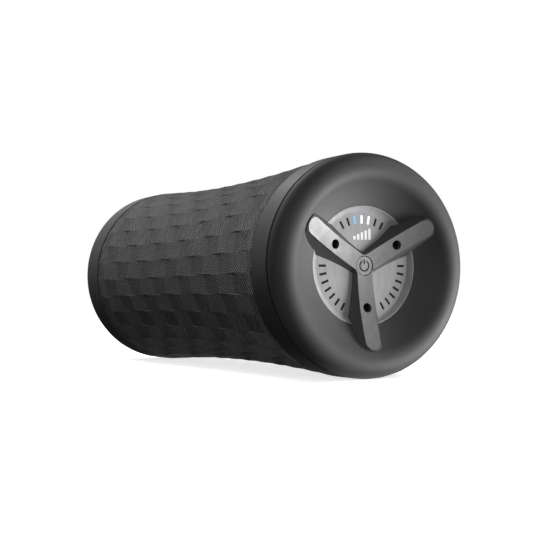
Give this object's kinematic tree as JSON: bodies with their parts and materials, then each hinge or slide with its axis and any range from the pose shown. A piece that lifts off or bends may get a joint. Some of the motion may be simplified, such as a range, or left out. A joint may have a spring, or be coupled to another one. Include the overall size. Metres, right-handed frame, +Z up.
{
  "type": "vibrating foam roller",
  "caption": "Hourglass massage roller with a faceted soft sleeve, a dished control cap with a three-armed guard over a dial, and a charging cap.",
  "frame": {"origin": "on the floor under the middle of the roller, which lies on its side", "axes": "+X along the roller towards the control cap, +Z up towards the lit sector of the dial"},
  "size_m": [0.3094, 0.13, 0.13],
  "materials": {
    "sleeve_foam": "matte",
    "core_plastic": "matte",
    "cap_plastic": "satin",
    "collar_plastic": "satin",
    "seal_rubber": "matte",
    "dial_metal": "satin",
    "backing_black": "matte",
    "mode_light": "satin",
    "level_light": "satin",
    "print_white": "matte",
    "trim_metal": "satin",
    "screw_black": "satin",
    "symbol_dark": "matte",
    "board_green": "satin",
    "switch_black": "satin",
    "plunger_white": "satin",
    "led_body": "gloss",
    "chip_black": "matte",
    "connector_white": "satin",
    "steel": "satin",
    "rod_aluminium": "satin",
    "chassis_nylon": "matte",
    "cell_wrap": "gloss",
    "nickel": "satin",
    "magnet_dark": "matte",
    "lamination_steel": "matte",
    "copper_wire": "gloss",
    "carbon_brush": "matte",
    "ball_chrome": "polished",
    "cage_brass": "satin",
    "weight_steel": "satin",
    "wire_black": "satin",
    "wire_red": "satin",
    "wire_grey": "satin"
  },
  "bodies": {
    "housing": {"textured_sleeve": "sleeve_foam", "core_tube": "core_plastic", "front_collar": "collar_plastic", "front_gasket": "seal_rubber", "front_cap": "cap_plastic", "dial_disc": "dial_metal", "dial_backing": "backing_black", "mode_light_guide": "mode_light", "level_light_guides": "level_light", "level_mark": "print_white", "spoke_frame": "cap_plastic", "spoke_trim": "trim_metal", "spoke_screws": "screw_black", "button_seal": "seal_rubber", "tact_switch": "switch_black", "control_board": "board_green", "board_screws": "steel", "indicator_leds": "led_body", "controller_chip": "chip_black", "board_connectors": "connector_white", "front_bulkhead": "chassis_nylon", "rear_bulkhead": "chassis_nylon", "tie_rods": "rod_aluminium", "rod_nuts": "steel", "rod_spacers": "chassis_nylon", "battery_cells": "cell_wrap", "cell_holders": "chassis_nylon", "cell_links": "nickel", "protection_board": "board_green", "motor_mounts": "chassis_nylon", "isolator_rings": "seal_rubber", "motor_can": "steel", "motor_magnets": "magnet_dark", "front_end_bell": "steel", "rear_end_bell": "steel", "motor_brushes": "carbon_brush", "brush_carrier": "switch_black", "bearing_outer_races": "steel", "rear_gasket": "seal_rubber", "rear_cap": "cap_plastic", "rear_disc": "dial_metal", "rear_screws": "screw_black", "charge_receptacle": "steel", "charge_tongue": "switch_black", "charge_bracket": "chassis_nylon", "motor_lead": "wire_red", "charge_lead": "wire_grey", "battery_lead": "wire_black"},
    "power_button": {"power_button": "trim_metal", "power_symbol": "symbol_dark"},
    "switch_plunger": {"switch_plunger": "plunger_white"},
    "rotor": {"motor_shaft": "steel", "armature_core": "lamination_steel", "armature_windings": "copper_wire", "commutator": "copper_wire", "bearing_inner_races": "steel", "eccentric_weights": "weight_steel", "grub_screws": "screw_black"},
    "ball_sets": {"bearing_balls": "ball_chrome", "bearing_cages": "cage_brass"}
  },
  "joints": [
    {"name": "power_button_press", "type": "slide", "parent": "housing", "child": "power_button", "axis": [-1, 0, 0], "range_m": [0, 0.0006], "stiffness_N_per_m": 1500, "springref_m": -0.0003},
    {"name": "switch_plunger_press", "type": "slide", "parent": "housing", "child": "switch_plunger", "axis": [-1, 0, 0], "range_m": [0, 0.0006]},
    {"name": "rotor_spin", "type": "hinge", "parent": "housing", "child": "rotor", "pos_m": [-0.038, 0, 0.065], "axis": [1, 0, 0], "continuous": true},
    {"name": "ball_sets_orbit", "type": "hinge", "parent": "housing", "child": "ball_sets", "pos_m": [-0.038, 0, 0.065], "axis": [1, 0, 0], "continuous": true}
  ],
  "couplings": [
    {"joint": "switch_plunger_press", "follows": "power_button_press", "ratio": 1},
    {"joint": "ball_sets_orbit", "follows": "rotor_spin", "ratio": 0.367}
  ]
}
